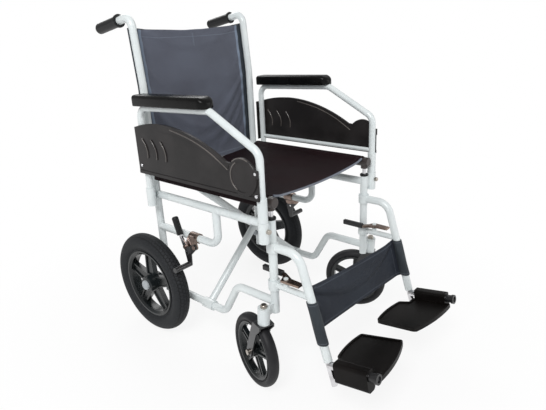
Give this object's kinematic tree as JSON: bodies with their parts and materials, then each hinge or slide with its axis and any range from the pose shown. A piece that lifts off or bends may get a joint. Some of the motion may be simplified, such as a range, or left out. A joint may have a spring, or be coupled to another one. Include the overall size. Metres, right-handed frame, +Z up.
{
  "type": "transport wheelchair",
  "caption": "Folding transport wheelchair: tubular side frames on a cross brace, sling seat and back, swing-away legrests, flip-up footplates, lift-out armrests, push handles and hand brakes.",
  "frame": {"origin": "on the floor under the middle of the chair's overall box", "axes": "+Z up; the chair faces -Y; the sitter's left is +X"},
  "size_m": [0.6086, 0.9881, 0.9269],
  "materials": {
    "white_paint": "gloss powder coat",
    "black_plastic": "satin moulded",
    "gloss_black": "glossy moulded",
    "guard_plastic": "semi-gloss moulded",
    "tyre_rubber": "matte",
    "zinc": "zinc plated",
    "chrome": "polished",
    "black_steel": "satin black",
    "hub_grey": "grey cap",
    "back_fabric": "woven nylon",
    "seat_fabric": "coated nylon",
    "strap_fabric": "woven nylon"
  },
  "bodies": {
    "right_frame": {"side_frame_right": "white_paint", "push_grip_right": "black_plastic", "post_bushing_right": "black_plastic", "rear_axle_right": "hub_grey", "brake_bracket_right": "zinc", "back_sling": "back_fabric"},
    "left_frame": {"side_frame_left": "white_paint", "push_grip_left": "black_plastic", "post_bushing_left": "black_plastic", "rear_axle_left": "hub_grey", "brake_bracket_left": "zinc"},
    "front_brace": {"brace_front": "white_paint"},
    "rear_brace": {"brace_rear": "white_paint", "brace_bolt": "zinc"},
    "left_seat_guide": {"seat_guide_left": "black_plastic", "seat_sling": "seat_fabric"},
    "left_rear_wheel": {"rear_tyre_left": "tyre_rubber", "rear_wheel_left": "black_plastic"},
    "left_caster": {"caster_fork_left": "black_steel", "caster_cap_nut_left": "zinc", "caster_axle_left": "zinc"},
    "left_caster_wheel": {"caster_tyre_left": "tyre_rubber", "caster_wheel_left": "black_plastic"},
    "left_armrest": {"arm_frame_left": "white_paint", "arm_pad_left": "gloss_black", "skirt_guard_left": "guard_plastic", "guard_screws_left": "zinc"},
    "left_armrest_lock": {"armrest_lock_left": "zinc"},
    "left_brake_lever": {"brake_lever_left": "zinc", "brake_grip_left": "black_plastic"},
    "left_brake_shoe": {"brake_shoe_left": "black_steel"},
    "left_legrest": {"legrest_hanger_left": "white_paint", "calf_strap": "strap_fabric"},
    "left_legrest_latch": {"legrest_latch_left": "zinc"},
    "left_footrest": {"footrest_tube_left": "chrome"},
    "left_footplate": {"footplate_left": "gloss_black"},
    "right_seat_guide": {"seat_guide_right": "black_plastic"},
    "right_rear_wheel": {"rear_tyre_right": "tyre_rubber", "rear_wheel_right": "black_plastic"},
    "right_caster": {"caster_fork_right": "black_steel", "caster_cap_nut_right": "zinc", "caster_axle_right": "zinc"},
    "right_caster_wheel": {"caster_tyre_right": "tyre_rubber", "caster_wheel_right": "black_plastic"},
    "right_armrest": {"arm_frame_right": "white_paint", "arm_pad_right": "gloss_black", "skirt_guard_right": "guard_plastic", "guard_screws_right": "zinc"},
    "right_armrest_lock": {"armrest_lock_right": "zinc"},
    "right_brake_lever": {"brake_lever_right": "zinc", "brake_grip_right": "black_plastic"},
    "right_brake_shoe": {"brake_shoe_right": "black_steel"},
    "right_legrest": {"legrest_hanger_right": "white_paint", "calf_cuff": "strap_fabric"},
    "right_legrest_latch": {"legrest_latch_right": "zinc"},
    "right_footrest": {"footrest_tube_right": "chrome"},
    "right_footplate": {"footplate_right": "gloss_black"}
  },
  "joints": [
    {"name": "fold", "type": "hinge", "parent": "right_frame", "child": "front_brace", "pos_m": [-0.214, 0.06889, 0.13348], "axis": [0, -0.9976, 0.0698], "range_deg": [0, 34], "deforming": ["seat_sling", "back_sling", "calf_strap"]},
    {"name": "brace_cross", "type": "hinge", "parent": "front_brace", "child": "rear_brace", "pos_m": [0, 0.10474, 0.31643], "axis": [0, -0.9976, 0.0698], "range_deg": [-68, 0]},
    {"name": "left_frame_follow", "type": "hinge", "parent": "rear_brace", "child": "left_frame", "pos_m": [0.214, 0.09183, 0.13188], "axis": [0, -0.9976, 0.0698], "range_deg": [0, 34]},
    {"name": "left_guide_turn", "type": "hinge", "parent": "front_brace", "child": "left_seat_guide", "pos_m": [0.214, -0.14771, 0.51953], "axis": [0, -0.9976, 0.0698], "range_deg": [-34, 0]},
    {"name": "right_guide_turn", "type": "hinge", "parent": "rear_brace", "child": "right_seat_guide", "pos_m": [-0.214, -0.14771, 0.51953], "axis": [0, -0.9976, 0.0698], "range_deg": [0, 34]},
    {"name": "left_rear_wheel_spin", "type": "hinge", "parent": "left_frame", "child": "left_rear_wheel", "pos_m": [0.27, 0.263, 0.157], "axis": [1, 0, 0], "continuous": true},
    {"name": "left_caster_swivel", "type": "hinge", "parent": "left_frame", "child": "left_caster", "pos_m": [0.259, -0.184, 0.23], "axis": [0, 0, 1], "continuous": true},
    {"name": "left_caster_spin", "type": "hinge", "parent": "left_caster", "child": "left_caster_wheel", "pos_m": [0.24798, -0.14555, 0.1015], "axis": [0.9613, 0.2756, 0], "continuous": true},
    {"name": "left_armrest_lift", "type": "slide", "parent": "left_frame", "child": "left_armrest", "axis": [0, 0.0698, 0.9976], "range_m": [0, 0.045]},
    {"name": "left_armrest_lock_pull", "type": "slide", "parent": "left_frame", "child": "left_armrest_lock", "axis": [0, -0.9976, 0.0698], "range_m": [0, 0.004], "stiffness_N_per_m": 200},
    {"name": "left_brake_lever_turn", "type": "hinge", "parent": "left_frame", "child": "left_brake_lever", "pos_m": [0.2375, 0.13431, 0.30935], "axis": [1, 0, 0], "range_deg": [0, 27]},
    {"name": "left_brake_shoe_turn", "type": "hinge", "parent": "left_frame", "child": "left_brake_shoe", "pos_m": [0.2335, 0.10068, 0.31571], "axis": [1, 0, 0], "range_deg": [0, 8.1]},
    {"name": "left_legrest_swing", "type": "hinge", "parent": "left_frame", "child": "left_legrest", "pos_m": [0.214, -0.17653, 0.35113], "axis": [0, 0.0698, 0.9976], "range_deg": [0, 90]},
    {"name": "left_legrest_latch_turn", "type": "hinge", "parent": "left_legrest", "child": "left_legrest_latch", "pos_m": [0.214, -0.21732, 0.32692], "axis": [0, 0.0698, 0.9976], "range_deg": [0, 12], "stiffness_Nm_per_rad": 0.3},
    {"name": "left_footrest_height", "type": "slide", "parent": "left_legrest", "child": "left_footrest", "axis": [0, 0.3629, 0.9318], "range_m": [-0.025, 0]},
    {"name": "left_footplate_flip", "type": "hinge", "parent": "left_footrest", "child": "left_footplate", "pos_m": [0.214, -0.35692, 0.14522], "axis": [0, 0.9703, -0.2419], "range_deg": [0, 82.5]},
    {"name": "right_rear_wheel_spin", "type": "hinge", "parent": "right_frame", "child": "right_rear_wheel", "pos_m": [-0.27, 0.263, 0.157], "axis": [1, 0, 0], "continuous": true},
    {"name": "right_caster_swivel", "type": "hinge", "parent": "right_frame", "child": "right_caster", "pos_m": [-0.259, -0.184, 0.23], "axis": [0, 0, 1], "continuous": true},
    {"name": "right_caster_spin", "type": "hinge", "parent": "right_caster", "child": "right_caster_wheel", "pos_m": [-0.24664, -0.14596, 0.1015], "axis": [0.9511, -0.309, 0], "continuous": true},
    {"name": "right_armrest_lift", "type": "slide", "parent": "right_frame", "child": "right_armrest", "axis": [0, 0.0698, 0.9976], "range_m": [0, 0.045]},
    {"name": "right_armrest_lock_pull", "type": "slide", "parent": "right_frame", "child": "right_armrest_lock", "axis": [0, -0.9976, 0.0698], "range_m": [0, 0.004], "stiffness_N_per_m": 200},
    {"name": "right_brake_lever_turn", "type": "hinge", "parent": "right_frame", "child": "right_brake_lever", "pos_m": [-0.2375, 0.13431, 0.30935], "axis": [1, 0, 0], "range_deg": [0, 27]},
    {"name": "right_brake_shoe_turn", "type": "hinge", "parent": "right_frame", "child": "right_brake_shoe", "pos_m": [-0.2335, 0.10068, 0.31571], "axis": [1, 0, 0], "range_deg": [0, 8.1]},
    {"name": "right_legrest_swing", "type": "hinge", "parent": "right_frame", "child": "right_legrest", "pos_m": [-0.214, -0.17653, 0.35113], "axis": [0, -0.0698, -0.9976], "range_deg": [0, 90]},
    {"name": "right_legrest_latch_turn", "type": "hinge", "parent": "right_legrest", "child": "right_legrest_latch", "pos_m": [-0.214, -0.21732, 0.32692], "axis": [0, -0.0698, -0.9976], "range_deg": [0, 12], "stiffness_Nm_per_rad": 0.3},
    {"name": "right_footrest_height", "type": "slide", "parent": "right_legrest", "child": "right_footrest", "axis": [0, 0.3629, 0.9318], "range_m": [-0.025, 0]},
    {"name": "right_footplate_flip", "type": "hinge", "parent": "right_footrest", "child": "right_footplate", "pos_m": [-0.214, -0.35692, 0.14522], "axis": [0, -0.9703, 0.2419], "range_deg": [0, 82.5]}
  ],
  "couplings": [
    {"joint": "brace_cross", "follows": "fold", "ratio": -2},
    {"joint": "left_frame_follow", "follows": "fold", "ratio": 1},
    {"joint": "left_guide_turn", "follows": "fold", "ratio": -1},
    {"joint": "right_guide_turn", "follows": "fold", "ratio": 1},
    {"joint": "left_brake_shoe_turn", "follows": "left_brake_lever_turn", "ratio": 0.3},
    {"joint": "left_footplate_flip", "follows": "fold", "ratio": 2.4265},
    {"joint": "right_brake_shoe_turn", "follows": "right_brake_lever_turn", "ratio": 0.3},
    {"joint": "right_footplate_flip", "follows": "fold", "ratio": 2.4265}
  ]
}
